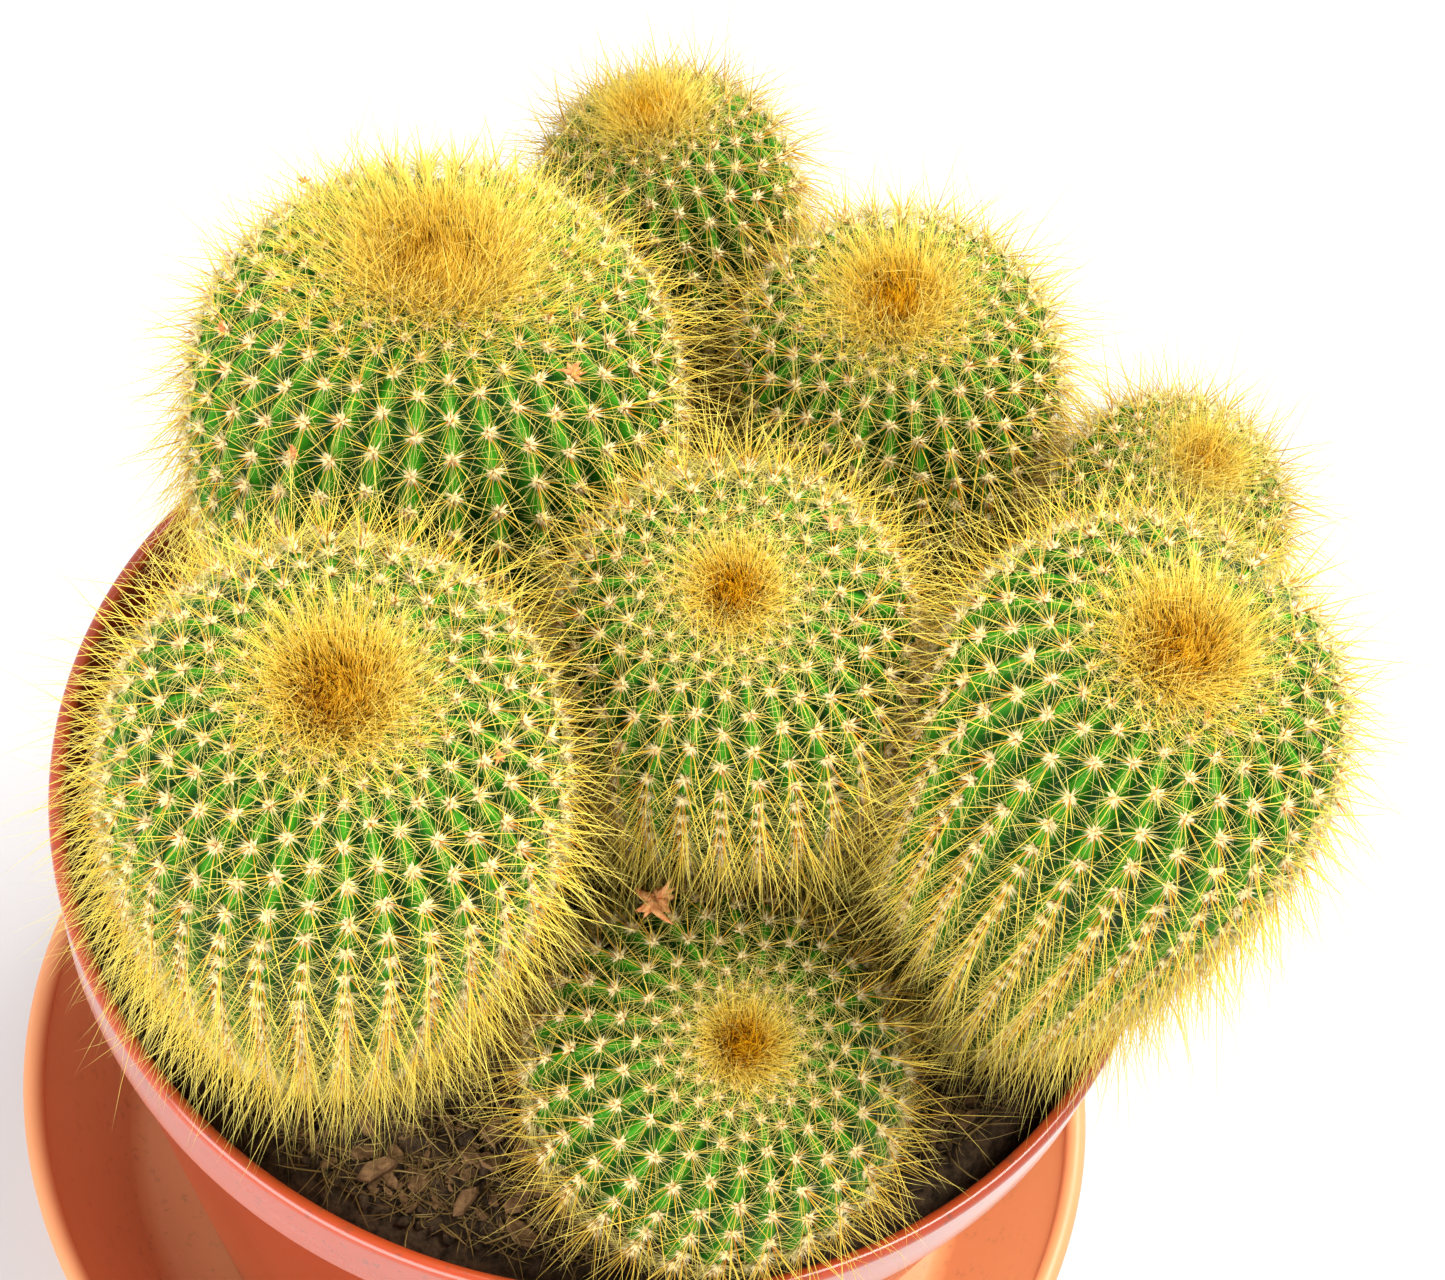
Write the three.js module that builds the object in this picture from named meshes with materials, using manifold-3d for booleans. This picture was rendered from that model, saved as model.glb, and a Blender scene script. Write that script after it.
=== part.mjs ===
// Potted golden ball cactus: a clump of eight ribbed stems in a plastic pot that stands on its saucer.
// Millimetres, +Z up. Origin: centre of the saucer's underside, which rests on the floor.

import * as THREE from "three";
import { mergeVertices } from "three/addons/utils/BufferGeometryUtils.js";
import Module from "manifold-3d";

const wasm = await Module();
wasm.setup();

// ---------------------------------------------------------------- driving dimensions

// Pot: a tapered plastic wall with a collar and a rounded lip, on a low foot ring.
const POT_RIM_RADIUS = 85;
const POT_BASE_RADIUS = 61;
const POT_HEIGHT = 112;
const POT_WALL = 1.8;
const POT_FLOOR = 2.4;
const LIP_WIDTH = 2.6;
const COLLAR_HEIGHT = 14;
const COLLAR_DRAFT = 1.2;
const COLLAR_STEP = 1.2;
const FOOT_HEIGHT = 2.4;
const FOOT_WIDTH = 4;
const DRAIN_COUNT = 6;
const DRAIN_RADIUS = 4.5;
const DRAIN_INSET = 20;

// Saucer: a shallow flared dish, wider than the pot's foot by SAUCER_MARGIN.
const SAUCER_MARGIN = 13;
const SAUCER_FLARE = 17;
const SAUCER_HEIGHT = 25;
const SAUCER_WALL = 2.2;
const SAUCER_FLOOR = 2.5;
const SAUCER_LIP_RADIUS = 1.9;
const SAUCER_LIP_WRAP = 20;
const SAUCER_DISH_BEVEL = 1;

// Soil: fills the pot to SOIL_DROP below the lip, shrunk away from the wall at the top.
const SOIL_DROP = 8;
const SOIL_MOUND = 2.5;
const SOIL_SHOULDER = 9;
const SOIL_SHRINK = 2.2;
const SOIL_ROUNDING = 0.3;

// Clearances between pieces.
const SEAT_GAP = 0.3;
const SOIL_GAP = 0.4;
const POCKET_GAP = 0.4;
const TUFT_GAP = 0.5;
const STEM_GAP = 0.6;
const LIP_GAP = 0.6;
const CHIP_GAP = 1.2;

// Stem shape, shared by all heads: a narrow neck, a broad flank and a flattened dome.
const ROOT_DEPTH = 9;
const ROOT_SHARE = 0.75;
const NECK_SHARE = 0.6;
const FLANK_POWER = 2.2;
const DOME_SHARE = 0.85;
const DOME_POWER = 2.25;
const DIMPLE_SHARE = 0.27;
const DIMPLE_DEPTH_SHARE = 0.1;
const RIB_DEPTH = 2.2;

// Tuft of young spines and wool that fills the dimple of each crown.
const TUFT_SHARE = 0.42;
const TUFT_HEIGHT_SHARE = 0.13;
const TUFT_BULGE = [
  { reach: 0.85, rise: 0.55 },
  { reach: 0.45, rise: 0.9 },
];

// Each stem: where its neck stands on the soil, how far its crown leans from there, its height above the
// soil, its girth (largest radius) and its number of ribs.
const STEMS = [
  { name: "back", place: [6.5, 67], lean: [-22, 10], height: 74, girth: 19, ribs: 26 },
  { name: "back_left", place: [-32, 17.5], lean: [-6.5, 10.5], height: 91, girth: 35.3, ribs: 34 },
  { name: "back_right", place: [37, 53], lean: [-11.5, -8], height: 82, girth: 23.8, ribs: 30 },
  { name: "far_right", place: [59.5, 30], lean: [13.5, -1], height: 80, girth: 16.6, ribs: 24 },
  { name: "front_left", place: [-35.5, -36.5], lean: [0.5, -14], height: 98, girth: 30.3, ribs: 34 },
  { name: "centre", place: [20, 3], lean: [-8.5, -23], height: 94, girth: 24.4, ribs: 30 },
  { name: "right", place: [61, -10.5], lean: [9, -12], height: 106, girth: 27.5, ribs: 28 },
  { name: "front", place: [21, -46], lean: [5, -11], height: 42.5, girth: 26.6, ribs: 28 },
];

// Bark chips on the soil: place, length, width, thickness and turn in degrees.
const CHIPS = [
  { place: [-22, -68], length: 9, width: 5, thickness: 2.2, turn: 25 },
  { place: [-8, -70], length: 7, width: 4, thickness: 1.8, turn: 110 },
  { place: [62, -40], length: 8, width: 5, thickness: 2.0, turn: 50 },
  { place: [-70, -12], length: 7, width: 4.5, thickness: 2.0, turn: 80 },
  { place: [-34, 68], length: 8, width: 4.5, thickness: 2.0, turn: 150 },
];

// Facets: how finely round pieces are divided.
const POT_FACETS = 48;
const POCKET_FACETS = 18;
const TUFT_FACETS = 14;
const LIP_STEPS = 4;
const FLANK_STEPS = 3;
const SIDE_STEPS = 48;
const DOME_ANGLES = [66, 46, 28, 14];
const SOIL_RINGS = 4;
const DRAIN_FACETS = 12;

// Settling: how many times the stems, and the chips, are eased apart.
const STEM_ROUNDS = 400;
const CHIP_ROUNDS = 60;
const NECK_SPREAD = 0.12;

// ---------------------------------------------------------------- sizes that follow from them

const SAUCER_BASE_RADIUS = POT_BASE_RADIUS + SAUCER_MARGIN;
const SAUCER_RIM_RADIUS = SAUCER_BASE_RADIUS + SAUCER_FLARE;
const POT_BOTTOM = SAUCER_FLOOR + SEAT_GAP;
const POT_TOP = POT_BOTTOM + POT_HEIGHT;
const COLLAR_BOTTOM = POT_TOP - COLLAR_HEIGHT;
const POT_INSIDE = POT_BOTTOM + FOOT_HEIGHT + POT_FLOOR;
const SOIL_LEVEL = POT_TOP - SOIL_DROP;
const WALL_TOP_RADIUS = POT_RIM_RADIUS - COLLAR_DRAFT - COLLAR_STEP;

/** Outer radius of the pot's tapered wall, below the collar. */
function potWallRadius(z) {
  const rise = (z - POT_BOTTOM) / (COLLAR_BOTTOM - POT_BOTTOM);
  return POT_BASE_RADIUS + (WALL_TOP_RADIUS - POT_BASE_RADIUS) * rise;
}

const SOIL_EDGE = potWallRadius(SOIL_LEVEL - SOIL_SHOULDER) - POT_WALL - SOIL_GAP;
const SOIL_TOP_EDGE = SOIL_EDGE - SOIL_SHRINK;

/** Points of an arc in the (radius, z) plane, angles in degrees. */
function arc(centreRadius, centreZ, radius, from, to, steps) {
  const points = [];
  for (let step = 0; step <= steps; step += 1) {
    const angle = THREE.MathUtils.degToRad(from + ((to - from) * step) / steps);
    points.push([centreRadius + radius * Math.cos(angle), centreZ + radius * Math.sin(angle)]);
  }
  return points;
}

// ---------------------------------------------------------------- solids

/** A solid of revolution about +Z from a profile of [radius, z] points, listed from the bottom upwards. */
function turned(profile, facets) {
  const points = profile.map(([radius, z]) => new THREE.Vector2(Math.max(radius, 0), z));
  const geometry = new THREE.LatheGeometry(points, facets);
  geometry.rotateX(Math.PI / 2);
  return geometry;
}

/** The same geometry as a manifold solid, with its shared vertices merged. */
function toSolid(geometry) {
  const bare = geometry.clone();
  bare.deleteAttribute("normal");
  bare.deleteAttribute("uv");
  const merged = mergeVertices(bare, 1e-4);
  return new wasm.Manifold(
    new wasm.Mesh({
      numProp: 3,
      vertProperties: new Float32Array(merged.attributes.position.array),
      triVerts: new Uint32Array(merged.index.array),
    }),
  );
}

function fromSolid(solid) {
  const mesh = solid.getMesh();
  const geometry = new THREE.BufferGeometry();
  geometry.setAttribute("position", new THREE.BufferAttribute(mesh.vertProperties, 3));
  geometry.setIndex(new THREE.BufferAttribute(mesh.triVerts, 1));
  geometry.computeVertexNormals();
  return geometry;
}

function cut(geometry, tools) {
  let solid = toSolid(geometry);
  for (const tool of tools) {
    solid = solid.subtract(toSolid(tool));
  }
  return fromSolid(solid);
}

// ---------------------------------------------------------------- saucer and pot

function saucerGeometry() {
  const lipZ = SAUCER_HEIGHT - SAUCER_LIP_RADIUS;
  const lipCentre = SAUCER_RIM_RADIUS - SAUCER_LIP_RADIUS;
  return turned(
    [
      [0, 0],
      [SAUCER_BASE_RADIUS, 0],
      ...arc(lipCentre, lipZ, SAUCER_LIP_RADIUS, -SAUCER_LIP_WRAP, 180 + SAUCER_LIP_WRAP, LIP_STEPS),
      [SAUCER_BASE_RADIUS - SAUCER_WALL + SAUCER_DISH_BEVEL, SAUCER_FLOOR + SAUCER_DISH_BEVEL],
      [SAUCER_BASE_RADIUS - SAUCER_WALL - SAUCER_DISH_BEVEL, SAUCER_FLOOR],
      [0, SAUCER_FLOOR],
    ],
    POT_FACETS,
  );
}

function potGeometry() {
  const lipRadius = LIP_WIDTH / 2;
  const shell = turned(
    [
      [0, POT_BOTTOM + FOOT_HEIGHT],
      [POT_BASE_RADIUS - FOOT_WIDTH, POT_BOTTOM + FOOT_HEIGHT],
      [POT_BASE_RADIUS - FOOT_WIDTH, POT_BOTTOM],
      [POT_BASE_RADIUS, POT_BOTTOM],
      [WALL_TOP_RADIUS, COLLAR_BOTTOM],
      [POT_RIM_RADIUS - COLLAR_DRAFT, COLLAR_BOTTOM],
      ...arc(POT_RIM_RADIUS - lipRadius, POT_TOP - lipRadius, lipRadius, 0, 180, LIP_STEPS),
      [WALL_TOP_RADIUS - POT_WALL, COLLAR_BOTTOM],
      [potWallRadius(POT_INSIDE) - POT_WALL, POT_INSIDE],
      [0, POT_INSIDE],
    ],
    POT_FACETS,
  );
  const drains = [];
  for (let index = 0; index < DRAIN_COUNT; index += 1) {
    const angle = (index / DRAIN_COUNT) * 2 * Math.PI;
    const drain = new THREE.CylinderGeometry(DRAIN_RADIUS, DRAIN_RADIUS, 4 * POT_FLOOR, DRAIN_FACETS);
    drain.rotateX(Math.PI / 2);
    drain.translate(
      (POT_BASE_RADIUS - DRAIN_INSET) * Math.cos(angle),
      (POT_BASE_RADIUS - DRAIN_INSET) * Math.sin(angle),
      POT_INSIDE,
    );
    drains.push(drain);
  }
  return cut(shell, drains);
}

// ---------------------------------------------------------------- stems

/** Distance along a stem's axis from the soil to its crown plane. */
function axisLength(stem) {
  return Math.hypot(stem.lean[0], stem.lean[1], stem.height);
}

/** Radius of the dome, and how far its skin lies below the crown plane, at this angle from the axis. */
function domeDrop(stem, angle) {
  const radius = stem.girth * Math.sin(angle) ** (2 / DOME_POWER);
  const dome = DOME_SHARE * stem.girth * (1 - Math.cos(angle) ** (2 / DOME_POWER));
  const dimple = Math.exp(-((radius / (DIMPLE_SHARE * stem.girth)) ** 2));
  return { radius, drop: dome + DIMPLE_DEPTH_SHARE * stem.girth * dimple };
}

/** A stem's outline over its rib crests as [radius, height along the axis], from the root to the dome. */
function stemProfile(stem) {
  const length = axisLength(stem);
  const shoulder = length - DOME_SHARE * stem.girth;
  const profile = [[stem.girth * NECK_SHARE * ROOT_SHARE, -ROOT_DEPTH]];
  for (let step = 0; step <= FLANK_STEPS; step += 1) {
    const rise = step / FLANK_STEPS;
    const narrowing = (1 - NECK_SHARE) * (1 - rise) ** FLANK_POWER;
    profile.push([stem.girth * (1 - narrowing), shoulder * rise]);
  }
  for (const degrees of DOME_ANGLES) {
    const { radius, drop } = domeDrop(stem, THREE.MathUtils.degToRad(degrees));
    profile.push([radius, length - drop]);
  }
  return profile;
}

/** A ribbed body: rings that alternate between rib crest and furrow, closed by the apex and a flat root. */
function stemGeometry(stem) {
  const profile = stemProfile(stem);
  const around = 2 * stem.ribs;
  const positions = [];
  for (const [radius, height] of profile) {
    const depth = Math.min(RIB_DEPTH, (Math.PI * radius) / stem.ribs);
    for (let corner = 0; corner < around; corner += 1) {
      const angle = (corner / around) * 2 * Math.PI;
      const reach = corner % 2 === 0 ? radius : radius - depth;
      positions.push(reach * Math.cos(angle), reach * Math.sin(angle), height);
    }
  }
  const root = profile.length * around;
  const apex = root + 1;
  positions.push(0, 0, -ROOT_DEPTH);
  positions.push(0, 0, axisLength(stem) - domeDrop(stem, 0).drop);
  const faces = [];
  const last = (profile.length - 1) * around;
  for (let corner = 0; corner < around; corner += 1) {
    const next = (corner + 1) % around;
    faces.push(root, next, corner);
    faces.push(apex, last + corner, last + next);
    for (let ring = 0; ring < last; ring += around) {
      faces.push(ring + corner, ring + next, ring + around + next);
      faces.push(ring + corner, ring + around + next, ring + around + corner);
    }
  }
  const geometry = new THREE.BufferGeometry();
  geometry.setAttribute("position", new THREE.Float32BufferAttribute(positions, 3));
  geometry.setIndex(faces);
  geometry.computeVertexNormals();
  return geometry;
}

/** The hollow in the soil that a stem's root, neck and lower side sit in, drawn up to the stem's shoulder. */
function pocketGeometry(stem) {
  const widen = 1 / Math.cos(Math.PI / POCKET_FACETS);
  const rings = stemProfile(stem).slice(0, FLANK_STEPS + 2);
  const [, ...walls] = rings.map(([radius, height]) => [(radius + POCKET_GAP) * widen, height]);
  const bottom = -ROOT_DEPTH - POCKET_GAP;
  const bottomRadius = (rings[0][0] + POCKET_GAP) * widen;
  const top = walls[walls.length - 1][1];
  return turned([[0, bottom], [bottomRadius, bottom], ...walls, [0, top]], POCKET_FACETS);
}

/** A low bush whose underside follows the crown's dimple. */
function tuftGeometry(stem) {
  const length = axisLength(stem);
  const seat = [[0, length - domeDrop(stem, 0).drop + TUFT_GAP]];
  const edgeAngle = Math.asin(TUFT_SHARE ** (DOME_POWER / 2));
  const ringAngles = DOME_ANGLES.map(THREE.MathUtils.degToRad).filter((angle) => angle < edgeAngle);
  for (const angle of [...ringAngles.reverse(), edgeAngle]) {
    const { radius, drop } = domeDrop(stem, angle);
    seat.push([radius, length - drop + TUFT_GAP]);
  }
  const rim = seat[seat.length - 1];
  const top = length + TUFT_HEIGHT_SHARE * stem.girth;
  const bush = TUFT_BULGE.map(({ reach, rise }) => [rim[0] * reach, THREE.MathUtils.lerp(rim[1], top, rise)]);
  return turned([...seat, ...bush, [0, top]], TUFT_FACETS);
}

// ---------------------------------------------------------------- settling the clump

/** Spheres along a stem's axis that hold its body, in the plan as it stands now. */
function spheres(stem) {
  const length = axisLength(stem);
  return stemProfile(stem)
    .slice(1, FLANK_STEPS + 2)
    .flatMap(([radius, height], index, rings) => {
      const next = rings[Math.min(index + 1, rings.length - 1)];
      return [0, 0.5].map((part) => {
        const share = THREE.MathUtils.lerp(height, next[1], part) / length;
        return { share, radius: THREE.MathUtils.lerp(radius, next[0], part), z: share * stem.height };
      });
    });
}

function centreAt(stem, share) {
  return [stem.place[0] + stem.lean[0] * share, stem.place[1] + stem.lean[1] * share];
}

/** Moves the axis sideways by (dx, dy) at this share of its height, by shifting the neck and the crown. */
function nudge(stem, share, dx, dy) {
  const whole = (1 - share) ** 2 + share ** 2;
  const atNeck = (1 - share) / whole;
  const atCrown = share / whole;
  stem.place = [stem.place[0] + dx * atNeck, stem.place[1] + dy * atNeck];
  stem.lean = [stem.lean[0] + dx * (atCrown - atNeck), stem.lean[1] + dy * (atCrown - atNeck)];
}

/** Pushes two stems apart where their bodies come closer than STEM_GAP. */
function part(first, second) {
  for (const a of spheres(first)) {
    for (const b of spheres(second)) {
      const [ax, ay] = centreAt(first, a.share);
      const [bx, by] = centreAt(second, b.share);
      const away = Math.hypot(bx - ax, by - ay);
      const apart = (a.radius + b.radius + STEM_GAP) ** 2 - (a.z - b.z) ** 2;
      if (apart > 0 && away < Math.sqrt(apart)) {
        const push = (Math.sqrt(apart) - away) / (2 * away);
        nudge(first, a.share, (ax - bx) * push, (ay - by) * push);
        nudge(second, b.share, (bx - ax) * push, (by - ay) * push);
      }
    }
  }
}

/** Largest radius a stem's side may reach at this height over the soil, clear of the pot's wall or lip. */
function reachLimit(z) {
  return z > 0 ? POT_RIM_RADIUS - LIP_WIDTH - LIP_GAP : WALL_TOP_RADIUS - POT_WALL - SOIL_SHRINK;
}

/** Pulls a stem inwards where its outer side, from the root to the shoulder, comes too near the pot. */
function keepInside(stem) {
  const length = axisLength(stem);
  const axis = new THREE.Vector3(stem.lean[0], stem.lean[1], stem.height).divideScalar(length);
  const rings = stemProfile(stem).slice(0, FLANK_STEPS + 2);
  for (let step = 0; step <= SIDE_STEPS; step += 1) {
    const at = (step / SIDE_STEPS) * (rings.length - 1);
    const below = rings[Math.floor(at)];
    const above = rings[Math.ceil(at)];
    const share = THREE.MathUtils.lerp(below[1], above[1], at % 1) / length;
    const radius = THREE.MathUtils.lerp(below[0], above[0], at % 1);
    const [x, y] = centreAt(stem, share);
    const reach = Math.hypot(x, y);
    const outward = new THREE.Vector3(x / reach, y / reach, 0);
    const side = outward.clone().addScaledVector(axis, -outward.dot(axis)).normalize();
    const sideZ = share * stem.height + radius * side.z;
    if (sideZ < SOIL_DROP) {
      const excess = reach + radius * Math.hypot(side.x, side.y) - reachLimit(sideZ);
      if (excess > 0) {
        nudge(stem, share, (-x / reach) * excess, (-y / reach) * excess);
      }
    }
  }
}

/** The stems where they stand once each has the room that its neighbours and the pot leave it. */
function settled() {
  const stems = STEMS.map((stem) => ({ ...stem }));
  for (let round = 0; round < STEM_ROUNDS; round += 1) {
    for (let i = 0; i < stems.length; i += 1) {
      for (let j = i + 1; j < stems.length; j += 1) {
        part(stems[i], stems[j]);
      }
    }
    stems.forEach(keepInside);
  }
  return stems;
}

/** Turns a mesh modelled upright to stand on the soil along its stem's axis. */
function standAs(mesh, stem) {
  const axis = new THREE.Vector3(stem.lean[0], stem.lean[1], stem.height).normalize();
  mesh.quaternion.setFromUnitVectors(new THREE.Vector3(0, 0, 1), axis);
  mesh.position.set(stem.place[0], stem.place[1], SOIL_LEVEL);
  mesh.updateMatrix();
  return mesh;
}

// ---------------------------------------------------------------- soil and what lies on it

/** Height of the soil's slightly mounded top at this distance from the pot's axis. */
function soilTop(radius, edge) {
  return SOIL_LEVEL + SOIL_MOUND * (1 - (radius / edge) ** 2);
}

function soilGeometry(stems) {
  const bottom = POT_INSIDE + SOIL_GAP;
  const bottomEdge = potWallRadius(bottom) - POT_WALL - SOIL_GAP;
  const profile = [
    [0, bottom],
    [bottomEdge, bottom],
    [SOIL_EDGE, SOIL_LEVEL - SOIL_SHOULDER],
    [SOIL_EDGE - SOIL_SHRINK * SOIL_ROUNDING, SOIL_LEVEL - SOIL_SHOULDER * SOIL_ROUNDING],
  ];
  for (let ring = 0; ring <= SOIL_RINGS; ring += 1) {
    const radius = SOIL_TOP_EDGE * (1 - ring / SOIL_RINGS);
    profile.push([radius, soilTop(radius, SOIL_TOP_EDGE)]);
  }
  const pockets = stems.map((stem) => {
    const pocket = standAs(new THREE.Mesh(), stem);
    return pocketGeometry(stem).applyMatrix4(pocket.matrix);
  });
  return cut(turned(profile, POT_FACETS), pockets);
}

/** A flat chip with five uneven sides. */
function chipGeometry(chip) {
  const outline = new THREE.Shape();
  const reaches = [1, 0.82, 0.95, 0.78, 0.9];
  reaches.forEach((reach, index) => {
    const angle = (index / reaches.length) * 2 * Math.PI;
    const x = (chip.length / 2) * reach * Math.cos(angle);
    const y = (chip.width / 2) * reach * Math.sin(angle);
    if (index === 0) {
      outline.moveTo(x, y);
    } else {
      outline.lineTo(x, y);
    }
  });
  return new THREE.ExtrudeGeometry(outline, { depth: chip.thickness, bevelEnabled: false });
}

/** Where a chip can lie: its own place, moved clear of the stems and kept on the soil. */
function chipPlace(chip, stems) {
  const place = new THREE.Vector2(...chip.place);
  const half = chip.length / 2;
  for (let round = 0; round < CHIP_ROUNDS; round += 1) {
    for (const stem of stems) {
      const share = (chip.thickness + SOIL_MOUND) / stem.height;
      const centre = new THREE.Vector2(...centreAt(stem, share));
      const clear = stem.girth * (NECK_SHARE + NECK_SPREAD) + half + CHIP_GAP;
      if (place.distanceTo(centre) < clear) {
        place.sub(centre).setLength(clear).add(centre);
      }
    }
    place.clampLength(0, SOIL_TOP_EDGE - half);
  }
  return place;
}

// ---------------------------------------------------------------- the object

/** A named mesh with its own material. */
function piece(name, geometry, color, roughness) {
  const material = new THREE.MeshStandardMaterial({ color, roughness, metalness: 0 });
  const mesh = new THREE.Mesh(geometry, material);
  mesh.name = name;
  return mesh;
}

const pottedCactus = new THREE.Group();
pottedCactus.add(piece("saucer", saucerGeometry(), 0xd9794c, 0.45));
pottedCactus.add(piece("pot", potGeometry(), 0xc4472c, 0.25));

const stems = settled();
pottedCactus.add(piece("soil", soilGeometry(stems), 0x33251b, 0.95));
for (const stem of stems) {
  pottedCactus.add(standAs(piece(`stem_${stem.name}`, stemGeometry(stem), 0x3f8433, 0.5), stem));
  pottedCactus.add(standAs(piece(`crown_tuft_${stem.name}`, tuftGeometry(stem), 0xd8a524, 0.7), stem));
}

CHIPS.forEach((chip, index) => {
  const mesh = piece(`bark_chip_${index + 1}`, chipGeometry(chip), 0x7b5433, 0.9);
  const place = chipPlace(chip, stems);
  const inner = Math.max(place.length() - chip.length / 2, 0);
  mesh.position.set(place.x, place.y, soilTop(inner, SOIL_TOP_EDGE) + SEAT_GAP);
  mesh.rotation.z = THREE.MathUtils.degToRad(chip.turn);
  pottedCactus.add(mesh);
});

export default pottedCactus;
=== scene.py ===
import math

import bpy
import numpy as np
from mathutils import Matrix, Vector


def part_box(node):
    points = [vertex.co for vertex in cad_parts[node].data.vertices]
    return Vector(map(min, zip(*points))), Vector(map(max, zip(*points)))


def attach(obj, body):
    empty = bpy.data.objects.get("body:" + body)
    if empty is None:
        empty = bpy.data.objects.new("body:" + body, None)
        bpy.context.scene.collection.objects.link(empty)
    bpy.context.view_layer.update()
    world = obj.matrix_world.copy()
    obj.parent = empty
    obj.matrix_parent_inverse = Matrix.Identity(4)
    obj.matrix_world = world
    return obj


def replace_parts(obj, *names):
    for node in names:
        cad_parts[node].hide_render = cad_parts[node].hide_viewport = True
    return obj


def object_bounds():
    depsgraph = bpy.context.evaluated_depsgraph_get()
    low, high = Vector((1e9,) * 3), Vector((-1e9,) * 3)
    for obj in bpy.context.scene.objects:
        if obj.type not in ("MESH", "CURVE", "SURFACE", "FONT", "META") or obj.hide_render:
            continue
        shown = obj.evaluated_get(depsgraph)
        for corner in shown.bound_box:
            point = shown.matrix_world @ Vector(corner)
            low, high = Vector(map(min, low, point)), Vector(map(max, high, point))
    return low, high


# A clump of eight golden-spined round cacti in a plastic pot on its saucer. Every form is read from the CAD's
# solids and made fine, and the wool, the spines and the litter on the soil are placed from those forms.

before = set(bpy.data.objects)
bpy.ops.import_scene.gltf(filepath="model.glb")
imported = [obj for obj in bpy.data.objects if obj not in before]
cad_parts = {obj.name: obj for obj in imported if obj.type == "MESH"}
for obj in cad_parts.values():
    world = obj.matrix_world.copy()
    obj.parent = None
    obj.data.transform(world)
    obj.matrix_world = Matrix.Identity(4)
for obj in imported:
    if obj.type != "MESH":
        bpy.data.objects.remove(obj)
frame_low, frame_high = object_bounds()
MM = 0.001
TAU = 2 * math.pi
STEMS = [n[5:] for n in sorted(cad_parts) if n.startswith("stem_")]
CHIPS = [n for n in sorted(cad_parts) if n.startswith("bark_chip_")]

# Corners of the CAD's solids nearer than this are one corner, and levels nearer than this are one level.
SAME_CORNER = 1e-6
SAME_LEVEL = 2e-5
# How far past the CAD's box a spine may end, sideways.
SPINE_REACH = 13.5 * MM
# The girth, axis to rib crest, of a head of middling size.
USUAL_GIRTH = 30 * MM

# Areoles along a rib, in millimetres: their distance on a thin head, what a head of usual girth adds, and the
# distance from the apex over which they draw apart.
AREOLE_STEP, AREOLE_STEP_GROWTH, AREOLE_FULL_STEP_FROM = 4.5, 0.8, 17
# Areoles start where the outline's radius passes this part of the girth and the ribs are this many
# millimetres apart. Further in, the crown's own spines take over.
BARE_CROWN = 0.24
CLOSEST_RIBS = 1.1
# Millimetres in front of an areole where another head shades it, the nearest the most, and where none would.
SHADE_PROBES, SHADE_END = (3, 7, 12, 18), 26
# Where along its length a spine has to be clear, how often it is tried, and what each failure leaves of it.
CLEAR_AT, CLEAR_TRIES, CLEAR_CUT = (0.55, 0.8, 1.0), 5, 0.65

# What grows on each areole: how many, then lengths and radii in millimetres from the least to the most.
PAD_POINTS, POINT_LENGTH, POINT_RADIUS = 20, (0.95, 1.45), (0.4, 0.58)
PAD_HAIRS, HAIR_LENGTH, HAIR_RADIUS = 22, (1.6, 2.4), (0.08, 0.14)
RADIALS, RADIAL_LENGTH, RADIAL_RADIUS = 22, (4.0, 7.0), (0.032, 0.05)
CENTRALS, CENTRAL_LENGTH, CENTRAL_RADIUS = 7, (5.0, 12.0), (0.07, 0.115)
BRISTLE_LENGTH = (12, 19)
# Spines in the crown of a head of 28 mm girth, and their radii in millimetres.
CROWN_SPINES, CROWN_GIRTH, CROWN_RADIUS = 3200, 28 * MM, (0.055, 0.09)

# What lies on the soil: how many, and the fibres' lengths and radii in millimetres.
CRUMBS, BARK_BITS = 3000, 1500
FIBRES, FIBRE_LENGTH, FIBRE_RADIUS = 7000, (2.5, 9), (0.07, 0.19)
# How far the soil's middling level lies under the CAD's, so that its lumps stay near the CAD's top.
SOIL_SINK = 0.9 * MM

# How each head is furnished, 0 to 1: length of its crown's spines, how brown the crown's middle is, how brown
# the spines on its flank are, and how far the crown spreads.
CROWNS = {
    "back": (0.45, 0.75, 0.4, 0.4),
    "back_left": (0.5, 0.35, 0.0, 0.8),
    "back_right": (0.45, 0.85, 0.08, 0.55),
    "centre": (0.15, 0.95, 0.05, 0.1),
    "far_right": (0.25, 0.5, 0.2, 0.25),
    "front": (0.05, 0.9, 0.3, 0.0),
    "front_left": (0.35, 0.55, 0.0, 0.4),
    "right": (0.4, 0.6, 0.0, 0.45),
}

# ---------------------------------------------------------------- small mathematics


def unit(v):
    return v / np.maximum(np.linalg.norm(v, axis=-1, keepdims=True), 1e-12)


def smoothstep(low, high, x):
    t = np.clip((x - low) / (high - low), 0, 1)
    return t * t * (3 - 2 * t)


def smooth_curve(knots, values, at):
    """Values of a smooth curve through the knots, by cubic pieces with matched slopes."""
    knots, values = np.asarray(knots, float), np.asarray(values, float)
    slopes = np.gradient(values, knots, axis=0)
    i = np.clip(np.searchsorted(knots, at, side="right") - 1, 0, len(knots) - 2)
    span = knots[i + 1] - knots[i]
    t = (at - knots[i]) / span
    t2, t3 = t * t, t * t * t
    a, b, c, d = 2 * t3 - 3 * t2 + 1, t3 - 2 * t2 + t, -2 * t3 + 3 * t2, t3 - t2
    if values.ndim > 1:
        a, b, c, d, span = (x[:, None] for x in (a, b, c, d, span))
    return a * values[i] + b * span * slopes[i] + c * values[i + 1] + d * span * slopes[i + 1]


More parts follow.
